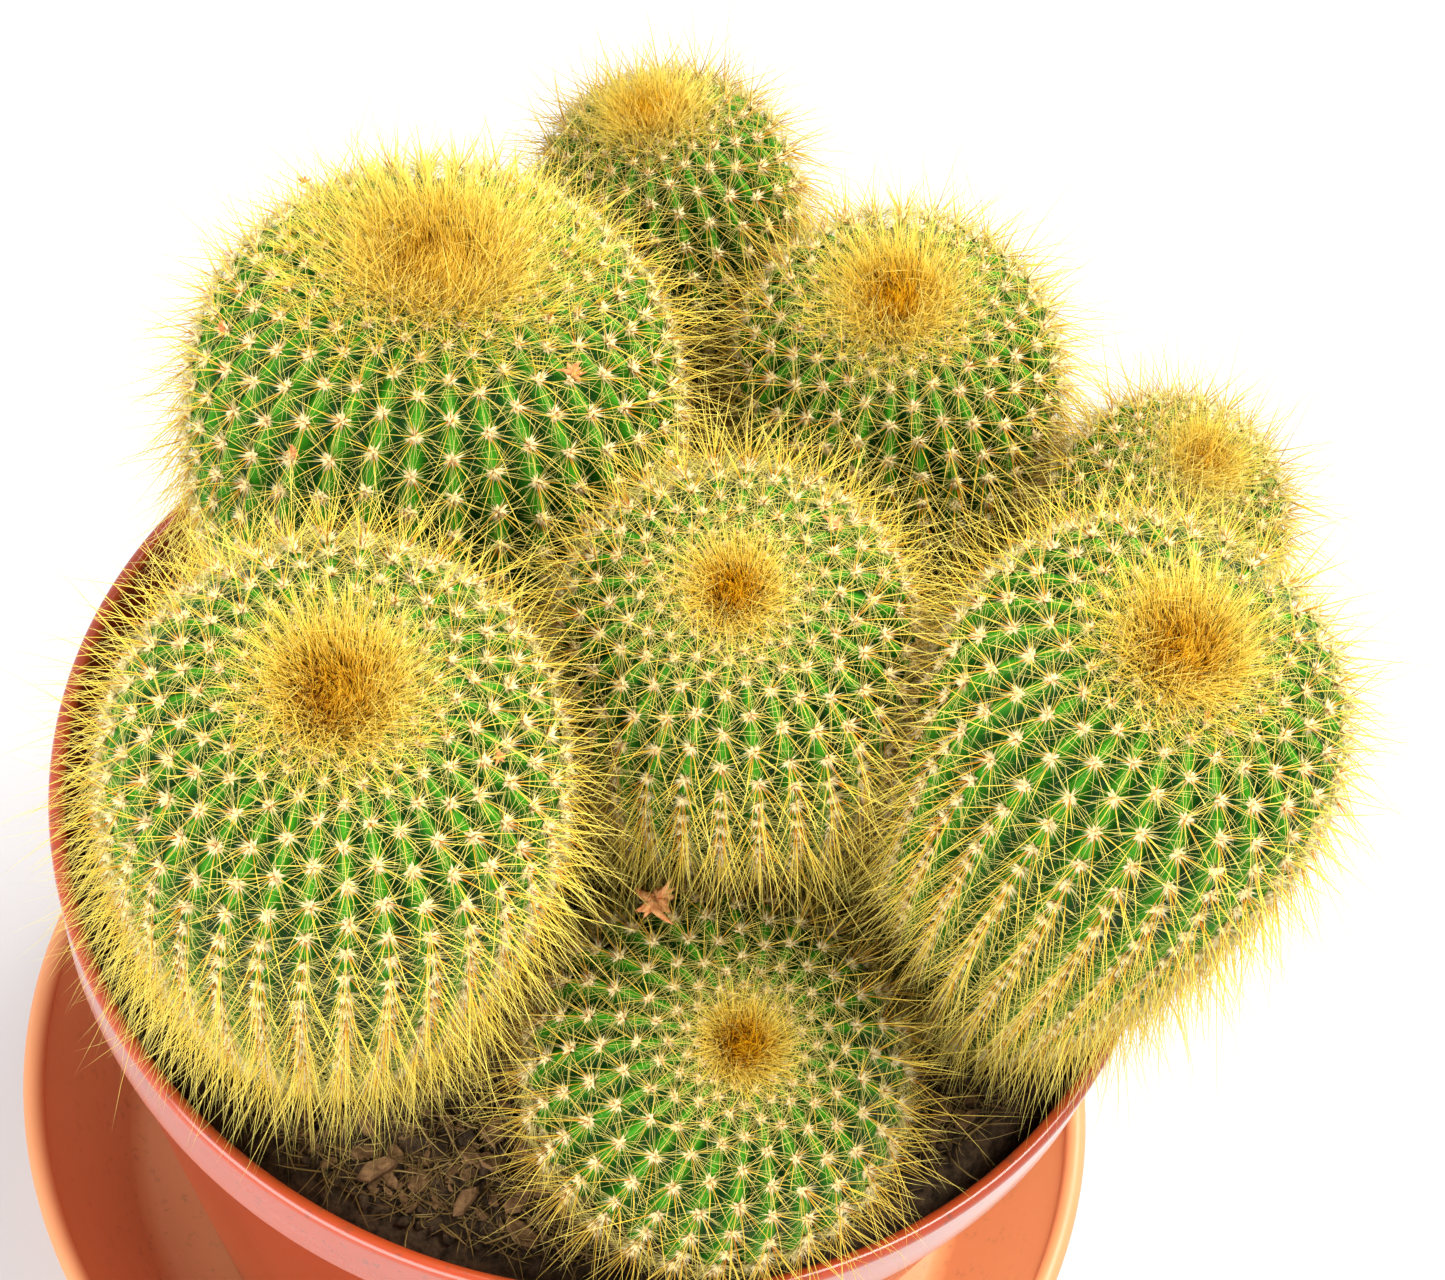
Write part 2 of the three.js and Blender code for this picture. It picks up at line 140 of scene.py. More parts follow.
def bumps(rng, points, size, octaves=3):
    """Smooth random heights of about -1 to 1 at these points, from waves of that size and finer."""
    total = np.zeros(len(points))
    weight = 1.0
    for _ in range(octaves):
        for _ in range(6):
            phase = points @ unit(rng.normal(size=3)) * TAU / size
            total += weight * np.sin(phase * rng.uniform(0.7, 1.3) + rng.uniform(0, TAU))
        size, weight = size / 2.1, weight * 0.55
    return total / 6


# ---------------------------------------------------------------- meshes


def mesh_piece(name, verts, faces, material, uv=None, flat=False, own_bake=True):
    """A mesh from numpy arrays, riding on the root. faces is a list of (n, 3) or (n, 4) arrays, and uv is per
    vertex or per face corner. With own_bake it is the map for baking too."""
    loops = np.concatenate([f.ravel() for f in faces]).astype(np.int32)
    sizes = np.concatenate([np.full(len(f), f.shape[1]) for f in faces])
    starts = np.concatenate([[0], np.cumsum(sizes)[:-1]]).astype(np.int32)
    me = bpy.data.meshes.new(name)
    me.vertices.add(len(verts))
    me.vertices.foreach_set("co", np.asarray(verts, np.float32).ravel())
    me.loops.add(len(loops))
    me.loops.foreach_set("vertex_index", loops)
    me.polygons.add(len(sizes))
    me.polygons.foreach_set("loop_start", starts)
    me.polygons.foreach_set("use_smooth", np.full(len(sizes), not flat))
    me.update(calc_edges=True)
    if uv is not None:
        corner_uv = uv if len(uv) == len(loops) and len(uv) != len(verts) else uv[loops]
        for layer in ("Along", "OFBake") if own_bake else ("Along",):
            me.uv_layers.new(name=layer).data.foreach_set("uv", np.asarray(corner_uv, np.float32).ravel())
        me.uv_layers.active = me.uv_layers["Along"]
    me.materials.append(material)
    ob = bpy.data.objects.new(name, me)
    bpy.context.scene.collection.objects.link(ob)
    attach(ob, "root")
    return ob


TINT_COLUMN = 0.03


def strands(base, direction, bend, length, radius, tint, segments, sides, point=2.0):
    """Closed tapered bristles. base, direction and bend are (k, 3) and the rest (k,). Returns verts, faces
    and uv, where u is the bristle's tint, in a narrow column, and v runs from its base to its tip."""
    k = len(base)
    t = np.linspace(0, 1, segments + 1)[None, :, None]
    size = length[:, None, None]
    line = base[:, None] + size * (direction[:, None] * t + bend[:, None] * t * t)
    ahead = unit(direction[:, None] + 2 * bend[:, None] * t)
    spare = np.where(np.abs(ahead[..., 2:3]) < 0.8, [[[0.0, 0.0, 1.0]]], [[[1.0, 0.0, 0.0]]])
    side = unit(np.cross(ahead, spare))
    other = np.cross(ahead, side)
    thick = radius[:, None] * (1 - t[0, :, 0][None] ** point)
    turn = np.arange(sides) / sides * TAU
    around = np.cos(turn)[:, None] * side[:, :-1, None] + np.sin(turn)[:, None] * other[:, :-1, None]
    ring = line[:, :-1, None] + thick[:, :-1, None, None] * around
    per = segments * sides + 1
    verts = np.concatenate([ring.reshape(k, -1, 3), line[:, -1:]], axis=1).reshape(-1, 3)
    i = np.arange(sides)
    j = (i + 1) % sides
    steps = range(0, (segments - 1) * sides, sides)
    quads = [np.stack([i + s, j + s, j + s + sides, i + s + sides], 1) for s in steps]
    last = (segments - 1) * sides
    tips = np.stack([i + last, j + last, np.full(sides, per - 1)], 1)
    cap = np.stack([np.zeros(sides - 2, int), i[2:], i[1:-1]], 1)
    offset = (np.arange(k) * per)[:, None, None]
    faces = [(q[None] + offset).reshape(-1, 4) for q in quads]
    faces += [(f[None] + offset).reshape(-1, 3) for f in (tips, cap)]
    across = (i / (sides - 1) - 0.5)[None, None] * TINT_COLUMN
    u = TINT_COLUMN + (1 - 2 * TINT_COLUMN) * np.clip(tint, 0, 1)[:, None, None] + across
    v = np.broadcast_to(t[:, :-1], (k, segments, sides))
    ring_uv = np.stack([np.broadcast_to(u, v.shape), v], -1).reshape(k, -1, 2)
    tip_uv = np.stack([u[:, 0, sides // 2], np.ones(k)], -1)[:, None]
    return verts, faces, np.concatenate([ring_uv, tip_uv], axis=1).reshape(-1, 2)


def wrapped(rows, cols):
    """Quads of a grid whose columns close on themselves, and the (u, v) of each face corner."""
    i, j = np.meshgrid(np.arange(rows - 1), np.arange(cols), indexing="ij")
    i, j = i.ravel(), j.ravel()
    k = (j + 1) % cols
    quads = np.stack([i * cols + j, i * cols + k, (i + 1) * cols + k, (i + 1) * cols + j], 1)
    u = np.stack([j, j + 1, j + 1, j], 1) / cols
    v = np.stack([i, i, i + 1, i + 1], 1) / (rows - 1)
    return quads, np.stack([u, v], -1).reshape(-1, 2)


def fans(rows, cols, low, high):
    """Triangles from a grid's first row to the corner low, and from its last row to the corner high."""
    j = np.arange(cols)
    k = (j + 1) % cols
    last = (rows - 1) * cols
    return [np.stack([k, j, np.full(cols, low)], 1), np.stack([last + j, last + k, np.full(cols, high)], 1)]


def lathed(name, profile, material):
    """A closed turned piece from a profile of (radius, z) that starts and ends on the axis."""
    cols = 256
    inner = np.asarray(profile[1:-1])
    turn = np.arange(cols) / cols * TAU
    levels = np.broadcast_to(inner[:, 1:], (len(inner), cols))
    ring = np.stack([inner[:, :1] * np.cos(turn), inner[:, :1] * np.sin(turn), levels], -1)
    verts = np.concatenate([ring.reshape(-1, 3), [[0, 0, profile[0][1]], [0, 0, profile[-1][1]]]])
    quads, uv = wrapped(len(inner), cols)
    ends = fans(len(inner), cols, len(verts) - 2, len(verts) - 1)
    disc = 0.5 + 0.5 * np.stack([np.cos(turn), np.sin(turn)], -1)
    after, middle = np.roll(disc, -1, axis=0), np.full((cols, 2), 0.5)
    fan_uv = [np.stack(fan, 1).reshape(-1, 2) for fan in ((after, disc, middle), (disc, after, middle))]
    uv = np.concatenate([uv, *fan_uv])
    return mesh_piece(name, verts, [quads, *ends], material, uv, own_bake=False)


# ---------------------------------------------------------------- materials


class Look:
    """A Principled material with its node tree at hand."""

    def __init__(self, name, color, roughness, **sockets):
        self.material = bpy.data.materials.new(name)
        self.material.use_nodes = True
        self.nodes, self.links = self.material.node_tree.nodes, self.material.node_tree.links
        self.shader = self.nodes["Principled BSDF"]
        self.shader.inputs["Base Color"].default_value = (*color, 1)
        self.shader.inputs["Roughness"].default_value = roughness
        for key, value in sockets.items():
            self.shader.inputs[key.replace("_", " ")].default_value = value

    def add(self, kind, inputs=(), **settings):
        node = self.nodes.new(kind)
        for key, value in settings.items():
            setattr(node, key, value)
        for key, value in dict(inputs).items():
            if isinstance(value, bpy.types.NodeSocket):
                self.links.new(value, node.inputs[key])
            else:
                node.inputs[key].default_value = value
        return node

    def ramp(self, factor, stops):
        """Colours or greys at their spots, in rising order."""
        node = self.add("ShaderNodeValToRGB", {"Fac": factor})
        points = node.color_ramp.elements
        for spot, _ in stops[2:]:
            points.new(spot)
        for point, (spot, color) in zip(points, stops, strict=True):
            point.position = spot
            point.color = (*color, 1) if isinstance(color, tuple) else (color, color, color, 1)
        return node.outputs["Color"]

    def mix(self, factor, a, b, how="MIX"):
        node = self.add("ShaderNodeMix", data_type="RGBA", blend_type=how, clamp_factor=True)
        for index, value in ((0, factor), (6, a), (7, b)):
            if isinstance(value, bpy.types.NodeSocket):
                self.links.new(value, node.inputs[index])
            else:
                node.inputs[index].default_value = (*value, 1) if isinstance(value, tuple) else value
        return node.outputs[2]

    def noise(self, vector, scale, detail=4, roughness=0.55):
        inputs = {"Vector": vector, "Scale": scale, "Detail": detail, "Roughness": roughness}
        return self.add("ShaderNodeTexNoise", inputs).outputs["Fac"]

    def place(self):
        return self.add("ShaderNodeTexCoord").outputs["Object"]

    def own_map(self):
        return self.add("ShaderNodeUVMap", uv_map="Along").outputs["UV"]

    def set(self, socket, value):
        self.links.new(value, self.shader.inputs[socket])

    def bump(self, height, strength, distance):
        node = self.add("ShaderNodeBump", {"Height": height, "Strength": strength, "Distance": distance})
        self.links.new(node.outputs["Normal"], self.shader.inputs["Normal"])


def spine_look(name, stops, brown_and_shade, roughness=0.5):
    """Bristle colours from base to tip, drawn to a second set of colours as the tint rises."""
    look = Look(name, stops[-1][1], roughness, Specular_IOR_Level=0.1)
    tint, along, _ = look.add("ShaderNodeSeparateXYZ", {"Vector": look.own_map()}).outputs
    fine = look.noise(look.own_map(), 40, 2)
    # The second set is the browner one; on wool and spines its share is partly painted shade where heads
    # crowd each other.
    color = look.mix(tint, look.ramp(along, stops), look.ramp(along, brown_and_shade))
    shade = look.ramp(fine, [(0.3, 0.75), (0.7, 1.0)])
    look.set("Base Color", look.mix(0.6, color, shade, "MULTIPLY"))
    return look.material


# The second set of colours is the browner one. The wool's and spines' share of it is partly painted shade
# where another head is close, and partly a browning towards the soil.
RADIAL = spine_look(
    "radial_spine",
    [(0.0, (0.95, 0.74, 0.3)), (0.25, (0.84, 0.72, 0.17)), (1.0, (0.88, 0.79, 0.23))],
    [(0.0, (0.36, 0.2, 0.06)), (0.3, (0.42, 0.26, 0.05)), (1.0, (0.54, 0.36, 0.09))],
)
CENTRAL = spine_look(
    "central_spine",
    [
        (0.0, (0.72, 0.13, 0.01)), (0.14, (0.85, 0.34, 0.02)),
        (0.3, (1.0, 0.72, 0.07)), (1.0, (1.0, 0.9, 0.26)),
    ],
    [
        (0.0, (0.19, 0.05, 0.008)), (0.2, (0.34, 0.135, 0.02)),
        (0.6, (0.5, 0.26, 0.04)), (1.0, (0.66, 0.43, 0.09)),
    ],
)
CROWN = spine_look(
    "crown_spine",
    [
        (0.0, (1.0, 0.56, 0.03)), (0.3, (1.0, 0.78, 0.07)),
        (0.7, (1.0, 0.87, 0.16)), (1.0, (1.0, 0.93, 0.3)),
    ],
    [
        (0.0, (0.36, 0.1, 0.002)), (0.4, (0.63, 0.26, 0.002)),
        (0.8, (0.83, 0.44, 0.004)), (1.0, (0.92, 0.58, 0.01)),
    ],
)
WOOL = spine_look(
    "areole_wool",
    [
        (0.0, (0.8, 0.3, 0.05)), (0.15, (0.94, 0.6, 0.22)),
        (0.32, (0.97, 0.79, 0.4)), (1.0, (0.97, 0.87, 0.51)),
    ],
    [
        (0.0, (0.26, 0.09, 0.02)), (0.3, (0.42, 0.23, 0.08)),
        (0.6, (0.56, 0.37, 0.15)), (1.0, (0.64, 0.46, 0.2)),
    ],
    0.85,
)


def skin_look():
    """Green flesh, darkened between the ribs by painted shade and golden under the crown, with slight patches
    and fine specks.
    """
    look = Look("cactus_skin", (0.03, 0.2, 0.008), 0.5, Specular_IOR_Level=0.08)
    place = look.place()
    crest = look.add("ShaderNodeAttribute", attribute_name="crest").outputs["Fac"]
    broad = look.noise(place, 90, 4)
    fine = look.noise(place, 900, 5, 0.65)
    # From the hollows between the ribs to the crests: the dark hollow tones are painted shade.
    tones = [(0.003, 0.028, 0.002), (0.008, 0.075, 0.003), (0.028, 0.19, 0.006), (0.05, 0.27, 0.01)]
    green = look.ramp(crest, list(zip((0.0, 0.3, 0.75, 1.0), tones, strict=True)))
    woolly = look.add("ShaderNodeAttribute", attribute_name="crown").outputs["Fac"]
    depth = look.mix(woolly, green, (0.5, 0.22, 0.02))
    patch = look.ramp(broad, [(0.35, (0.75, 0.85, 0.7)), (0.65, (1.15, 1.08, 1.0))])
    color = look.mix(1.0, depth, patch, "MULTIPLY")
    speck = look.ramp(fine, [(0.58, 0.0), (0.72, 1.0)])
    faint = look.mix(1.0, speck, (0.16, 0.16, 0.16), "MULTIPLY")
    look.set("Base Color", look.mix(faint, color, (0.2, 0.42, 0.06)))
    look.set("Roughness", look.ramp(fine, [(0.3, 0.36), (0.7, 0.54)]))
    look.bump(fine, 0.25, 0.0004)
    return look.material


def plastic_look(name, color, deep, roughness, dust_and_shade, clear_level, darkest_level, **sockets):
    """Moulded plastic: slight colour drift, fine scuffs, and dark brown spots that grow from level to level:
    a dusting of soil, and on the saucer painted shade too.
    """
    look = Look(name, color, roughness, Specular_IOR_Level=0.5, **sockets)
    place = look.place()
    drift = look.ramp(look.noise(place, 25, 3), [(0.3, deep), (0.7, color)])
    stretched = look.add("ShaderNodeMapping", {"Vector": place, "Scale": (60, 60, 900)}).outputs["Vector"]
    scuff = look.noise(stretched, 1.0, 5, 0.7)
    level = look.add("ShaderNodeSeparateXYZ", {"Vector": place}).outputs["Z"]
    nearness = look.add(
        "ShaderNodeMapRange",
        {"Value": level, "From Min": clear_level, "From Max": darkest_level},
        interpolation_type="SMOOTHSTEP",
    ).outputs["Result"]
    spots = look.ramp(look.noise(place, 420, 6, 0.7), [(0.56, 0.0), (0.66, 1.0)])
    dust_and_shade_mix = look.mix(1.0, look.mix(1.0, spots, nearness, "MULTIPLY"), (dust_and_shade, dust_and_shade, dust_and_shade), "MULTIPLY")
    look.set("Base Color", look.mix(dust_and_shade_mix, drift, (0.09, 0.05, 0.03)))
    look.set("Roughness", look.ramp(scuff, [(0.3, roughness * 0.85), (0.75, roughness * 1.35)]))
    look.bump(look.noise(place, 700, 3), 0.06, 0.0003)
    return look.material


def earth_look(name, dark, light, scale):
    """Something dry and crumbly, in grains from dark to light."""
    look = Look(name, dark, 0.95, Specular_IOR_Level=0.25)
    place = look.place()
    grain = look.noise(place, scale, 8, 0.7)
    pale = tuple(min(1, 1.8 * c) for c in light)
    look.set("Base Color", look.ramp(grain, [(0.35, dark), (0.6, light), (0.8, pale)]))
    look.set("Roughness", look.ramp(grain, [(0.3, 0.98), (0.7, 0.8)]))
    look.bump(grain, 0.6, 0.0008)
    return look.material


SKIN = skin_look()
# The saucer's spots darken it towards its bottom: a dusting of soil and painted shade of the deep gap under
# the pot.
SAUCER = plastic_look("saucer_plastic", (0.74, 0.3, 0.125), (0.68, 0.26, 0.105), 0.4, 0.25, 0.03, 0.0)
POT = plastic_look(
    "pot_plastic", (0.46, 0.06, 0.015), (0.4, 0.048, 0.012), 0.2, 0.5, 0.1, 0.112,
    Coat_Weight=0.5, Coat_Roughness=0.12,
)
SOIL = earth_look("soil", (0.016, 0.01, 0.006), (0.1, 0.06, 0.032), 600)
BARK = earth_look("bark", (0.08, 0.036, 0.014), (0.27, 0.15, 0.065), 500)
FIBRE = spine_look(
    "soil_fibre",
    [(0.0, (0.36, 0.24, 0.08)), (1.0, (0.5, 0.36, 0.13))],
    [(0.0, (0.1, 0.05, 0.02)), (1.0, (0.2, 0.105, 0.04))],
    0.85,
)
HUSK = earth_look("dried_husk", (0.6, 0.17, 0.045), (0.92, 0.46, 0.18), 700)

# ---------------------------------------------------------------- forms read from the CAD solids


def solid_of(node):
    """A CAD node's corners with doubles merged, and its triangles."""
    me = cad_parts[node].data
    co = np.zeros(len(me.vertices) * 3, np.float32)
    me.vertices.foreach_get("co", co)
    spots = np.round(co.reshape(-1, 3) / SAME_CORNER).astype(int)
    _, first, back = np.unique(spots, axis=0, return_index=True, return_inverse=True)
    me.calc_loop_triangles()
    tris = np.zeros(len(me.loop_triangles) * 3, np.int32)
    me.loop_triangles.foreach_get("vertices", tris)
    return co.reshape(-1, 3)[first].astype(float), back.ravel()[tris].reshape(-1, 3)


def grouped(values):
    """Indices of the values, in groups of one level each, in rising order."""
    order = np.argsort(values)
    cuts = np.nonzero(np.diff(values[order]) > SAME_LEVEL)[0] + 1
    return np.split(order, cuts)


class Stem:
    """A head's axis, its outline over the rib crests and its ribs, as its solid has them. The axis starts at
    the flat foot, and angles round it start at the head's east, the rib that lies furthest along x."""

    def __init__(self, name):
        self.name = name
        corners, tris = solid_of("stem_" + name)
        a, b, c = (corners[tris[:, i]] for i in range(3))
        across = np.cross(b - a, c - a)
        area = np.linalg.norm(across, axis=1) / 2
        _, kind = np.unique(np.round(unit(across) * 200).astype(int), axis=0, return_inverse=True)
        flat = kind.ravel() == np.argmax(np.bincount(kind.ravel(), area))
        self.axis = -unit((across[flat]).sum(0))
        self.foot = ((a + b + c)[flat] / 3 * area[flat, None]).sum(0) / area[flat].sum()
        out = corners - self.foot
        rise = out @ self.axis
        off = out - rise[:, None] * self.axis
        reach = np.linalg.norm(off, axis=1)
        rings = [g for g in grouped(rise) if len(g) > 12]
        self.ribs = round(np.median([len(g) for g in rings]) / 2)
        ring = rings[4]
        on_crest = ring[reach[ring] > reach[ring].mean()]
        self.east = unit(off[on_crest[np.argmax(off[on_crest, 0])]])
        self.north = np.cross(self.axis, self.east)
        crests = []
        for g in rings:
            depth = reach[g].max() - np.sort(reach[g])[len(g) // 4]
            crests.append((reach[g].max(), rise[g].mean(), depth))
        crests[0] = (crests[0][0], crests[0][1], crests[1][2])
        top = rise[np.argmin(reach + (rise < rise.mean()))]
        knots = np.array([*crests, (0, top, 0)])
        mirrored = np.array([*knots, knots[-2] * [-1, 1, 1]])
        steps = np.concatenate([[0], np.cumsum(np.hypot(*np.diff(mirrored[:, :2], axis=0).T))])
        self.length = steps[-2]
        self.girth = knots[:, 0].max()
        self.fine = np.linspace(0, self.length, 400)
        self.shape = smooth_curve(steps, mirrored, self.fine)

    def outline(self, s):
        """Crest radius, height on the axis and rib depth at this distance along the outline from the root."""
        shape = [np.interp(s, self.fine, self.shape[:, i]) for i in range(3)]
        return np.maximum(shape[0], 0), shape[1], np.maximum(shape[2], 0)

    def surface(self, s, turn, lift=0.0):
        """Points over the rib crests, moved out from the axis by lift."""
        radius, height, _ = self.outline(s)
        around = np.cos(turn)[..., None] * self.east + np.sin(turn)[..., None] * self.north
        return self.foot + height[..., None] * self.axis + (radius + lift)[..., None] * around

    def lie(self, s, turn):
        """Outward normal, direction down the outline and direction round the axis, at crest points."""
        step = 0.4 * MM
        low, high = self.outline(np.maximum(s - step, 0)), self.outline(np.minimum(s + step, self.length))
        dr, dz = high[0] - low[0], high[1] - low[1]
        around = np.cos(turn)[:, None] * self.east + np.sin(turn)[:, None] * self.north
        up = unit(dr[:, None] * around + dz[:, None] * self.axis)
        sideways = np.cross(self.axis, around)
        return unit(np.cross(sideways, up)), -up, sideways

    def inside(self, points, margin=0.0):
        """Whether points lie within this head's crest outline, grown by margin."""
        out = points - self.foot
        rise = out @ self.axis
        reach = np.linalg.norm(out - rise[..., None] * self.axis, axis=-1)
        order = np.argsort(self.shape[:, 1])
        limit = np.interp(rise, self.shape[order, 1], self.shape[order, 0], left=0, right=0)
        return reach < limit + margin


stems = {name: Stem(name) for name in STEMS}
soil_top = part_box("soil")[1].z
pot_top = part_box("pot")[1].z

# ---------------------------------------------------------------- areoles


def areole_spacing(stem, from_apex):
    """The distance between areoles along a rib, smaller near the apex."""
    full = (AREOLE_STEP + AREOLE_STEP_GROWTH * stem.girth / USUAL_GIRTH) * MM
    return full * np.clip(0.4 + from_apex / (AREOLE_FULL_STEP_FROM * MM) * 0.6, 0.4, 1)


def areole_counter(stem):
    """Distances from the apex, and how many areoles lie between each and the apex."""
    a = np.linspace(0, stem.length, 2000)
    return a, np.concatenate([[0], np.cumsum(np.diff(a) / areole_spacing(stem, a[1:]))])


def areole_spots(stem, rng):
    """Every areole of a head, staggered from rib to rib: its distance along the outline and its angle."""
    a, count = areole_counter(stem)
    radius = stem.outline(stem.length - a)[0]
    first = a[np.argmax(radius > max(BARE_CROWN * stem.girth, stem.ribs * CLOSEST_RIBS * MM / TAU))]
    s, turn = [], []
    for rib in range(stem.ribs):
        shift = 0.5 * (rib % 2) + rng.uniform(-0.05, 0.05)
        at = np.interp(np.arange(1, count[-1]) + shift, count, a)
        at = at[at > first]
        s.append(stem.length - at)
        turn.append(np.full(len(at), rib / stem.ribs * TAU))
    s, turn = np.concatenate(s), np.concatenate(turn)
    s = s + rng.normal(0, 0.15 * MM, len(s))
    turn = turn + rng.normal(0, 0.1 * MM, len(s)) / np.maximum(stem.outline(s)[0], 4 * MM)
    above = stem.surface(s, turn)[:, 2] > soil_top + 1.0 * MM
    return s[above], turn[above]


def crowding(stem, points, normals):
    """0 in the open to 1 where another head is close in front of these points."""
    shade = np.zeros(len(points))
    for reach in SHADE_PROBES:
        for other in stems.values():
            if other is not stem:
                near = other.inside(points + normals * reach * MM)
                shade = np.maximum(shade, (1 - reach / SHADE_END) * near)
    return shade


def kept_clear(base, direction, bend, length):
    """Spine lengths cut so that few run far into a head or the soil, and none far out of the CAD's box."""
    low, high = (np.array([*corner[:2]]) for corner in (frame_low, frame_high))
    for _ in range(CLEAR_TRIES):
        bad = np.zeros(len(base), bool)
        for t in CLEAR_AT:
            at = base + length[:, None] * (direction * t + bend * t * t)
            for other in stems.values():
                bad |= other.inside(at, -0.5 * MM)
            bad |= at[:, 2] < soil_top - 2 * MM
            bad |= ((at[:, :2] > high + SPINE_REACH) | (at[:, :2] < low - SPINE_REACH)).any(axis=1)
        length = np.where(bad, length * CLEAR_CUT, length)
    return length


# ---------------------------------------------------------------- a head


def skin(stem, rng):
    """The green body: rounded ribs that swell at each areole, with slight lumps."""
    cols, rows = stem.ribs * 8, int(stem.length / (0.85 * MM))
    s = np.linspace(0, stem.length * 0.9985, rows)
    turn = np.arange(cols) / cols * TAU
    radius, height, depth = stem.outline(s)
    rib = turn * stem.ribs / TAU
    hollow = np.abs(np.sin(math.pi * rib)) ** 1.5
    a, count = areole_counter(stem)
    index = np.interp(stem.length - s, a, count)
    shift = 0.5 * (np.round(rib).astype(int) % stem.ribs % 2)
    swell = np.cos(TAU * (index[:, None] - shift[None]))
    reach = radius[:, None] - depth[:, None] * hollow[None]
    reach += 0.3 * MM * swell * (1 - hollow)[None] * np.clip(depth / (2 * MM), 0, 1)[:, None]
    reach = np.maximum(reach, 0.05 * MM)
    around = np.cos(turn)[:, None] * stem.east + np.sin(turn)[:, None] * stem.north
    verts = stem.foot + height[:, None, None] * stem.axis + reach[..., None] * around[None]
    flat = verts.reshape(-1, 3)
    lumps = bumps(rng, flat, 9 * MM, 2) * 0.18 * MM
    flat = flat + lumps[:, None] * np.tile(around, (rows, 1))
    apex = stem.foot + stem.outline(np.array([stem.length]))[1][0] * stem.axis
    quads, uv = wrapped(rows, cols)
    n = rows * cols
    fan_uv = np.full((cols * 3, 2), 0.001) + np.tile([[0, 0], [0.002, 0], [0.001, 0.002]], (cols, 1))
    ob = mesh_piece(
        f"skin_{stem.name}", np.concatenate([flat, [stem.foot, apex]]),
        [quads, *fans(rows, cols, n, n + 1)], SKIN,
        np.concatenate([uv, fan_uv, fan_uv + [0, 0.997]]),
    )
    # crest runs from 0 in the hollows to 1 on the crests; the skin's material paints shade towards 0.
    crest = np.concatenate([np.tile(1 - hollow, rows), [0, 0.3]])
    ob.data.attributes.new("crest", "FLOAT", "POINT").data.foreach_set("value", crest.astype(np.float32))
    covered = 1 - smoothstep(0.15 * stem.girth, 0.3 * stem.girth, np.repeat(stem.length - s, cols))
    covered = np.concatenate([covered, [0, 1]])
    ob.data.attributes.new("crown", "FLOAT", "POINT").data.foreach_set("value", covered.astype(np.float32))
    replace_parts(ob, "stem_" + stem.name)


class Areoles:
    """A head's areoles, with all that the wool and the spines on them need to know."""

    def __init__(self, stem, rng):
        self.stem, self.rng = stem, rng
        s, turn = areole_spots(stem, rng)
        self.count = len(s)
        self.normal, self.down, self.side = stem.lie(s, turn)
        self.place = stem.surface(s, turn, 0.1 * MM)
        self.from_apex = stem.length - s
        self.size = 0.62 + 0.38 * smoothstep(0.3 * stem.girth, 0.9 * stem.girth, self.from_apex)
        # How far wool and spines go to their browner colours: painted shade where another head is close in
        # front, plus browner towards the soil.
        shade = crowding(stem, self.place, self.normal)
        low = 1 - smoothstep(4 * MM, 26 * MM, self.place[:, 2] - soil_top)
        self.brown_and_shade = np.clip(1.1 * shade + 0.4 * low, 0, 1)

    def spread(self, per, tilt_low, tilt_high, even=True):
        """per directions at each areole, these degrees off its normal, and their angles from down."""
        n, rng = self.count, self.rng
        if even:
            turn = (np.arange(per) / per * TAU)[None] + rng.uniform(0, TAU, (n, 1))
        else:
            turn = rng.uniform(0, TAU, (n, per))
        turn = turn + rng.normal(0, 0.13, (n, per))
        tilt = np.radians(rng.uniform(tilt_low, tilt_high, (n, per)))
        flat = np.cos(turn)[..., None] * self.down[:, None] + np.sin(turn)[..., None] * self.side[:, None]
        direction = np.cos(tilt)[..., None] * self.normal[:, None] + np.sin(tilt)[..., None] * flat
        return direction.reshape(-1, 3), turn.ravel()


def many(x, per):
    return np.repeat(x, per, axis=0)


def wool(at):
    """Round pads of thick points, with fine hairs beyond their edge. Small heads have smaller pads."""
    stem, rng, per = at.stem, at.rng, PAD_POINTS + PAD_HAIRS
    total = at.count * per
    hair = np.tile(np.arange(per) >= PAD_POINTS, at.count)
    direction, _ = at.spread(per, 20, 92, even=False)
    puff = many(at.size * np.clip(math.sqrt(stem.girth / USUAL_GIRTH), 0.82, 1.0), per)
    length = np.where(hair, rng.uniform(*HAIR_LENGTH, total), rng.uniform(*POINT_LENGTH, total)) * MM * puff
    radius = np.where(hair, rng.uniform(*HAIR_RADIUS, total), rng.uniform(*POINT_RADIUS, total)) * MM * puff
    tint = np.clip(many(at.brown_and_shade * 0.6, per) + rng.normal(0, 0.06, total), 0, 1)
    base = many(at.place + at.normal * 0.25 * MM, per) + direction * 0.2 * MM
    bend = rng.normal(0, 0.08, (total, 3))
    verts, faces, uv = strands(base, direction, bend, length, radius, tint, 1, 3)
    mesh_piece(f"areoles_{stem.name}", verts, faces, WOOL, uv)


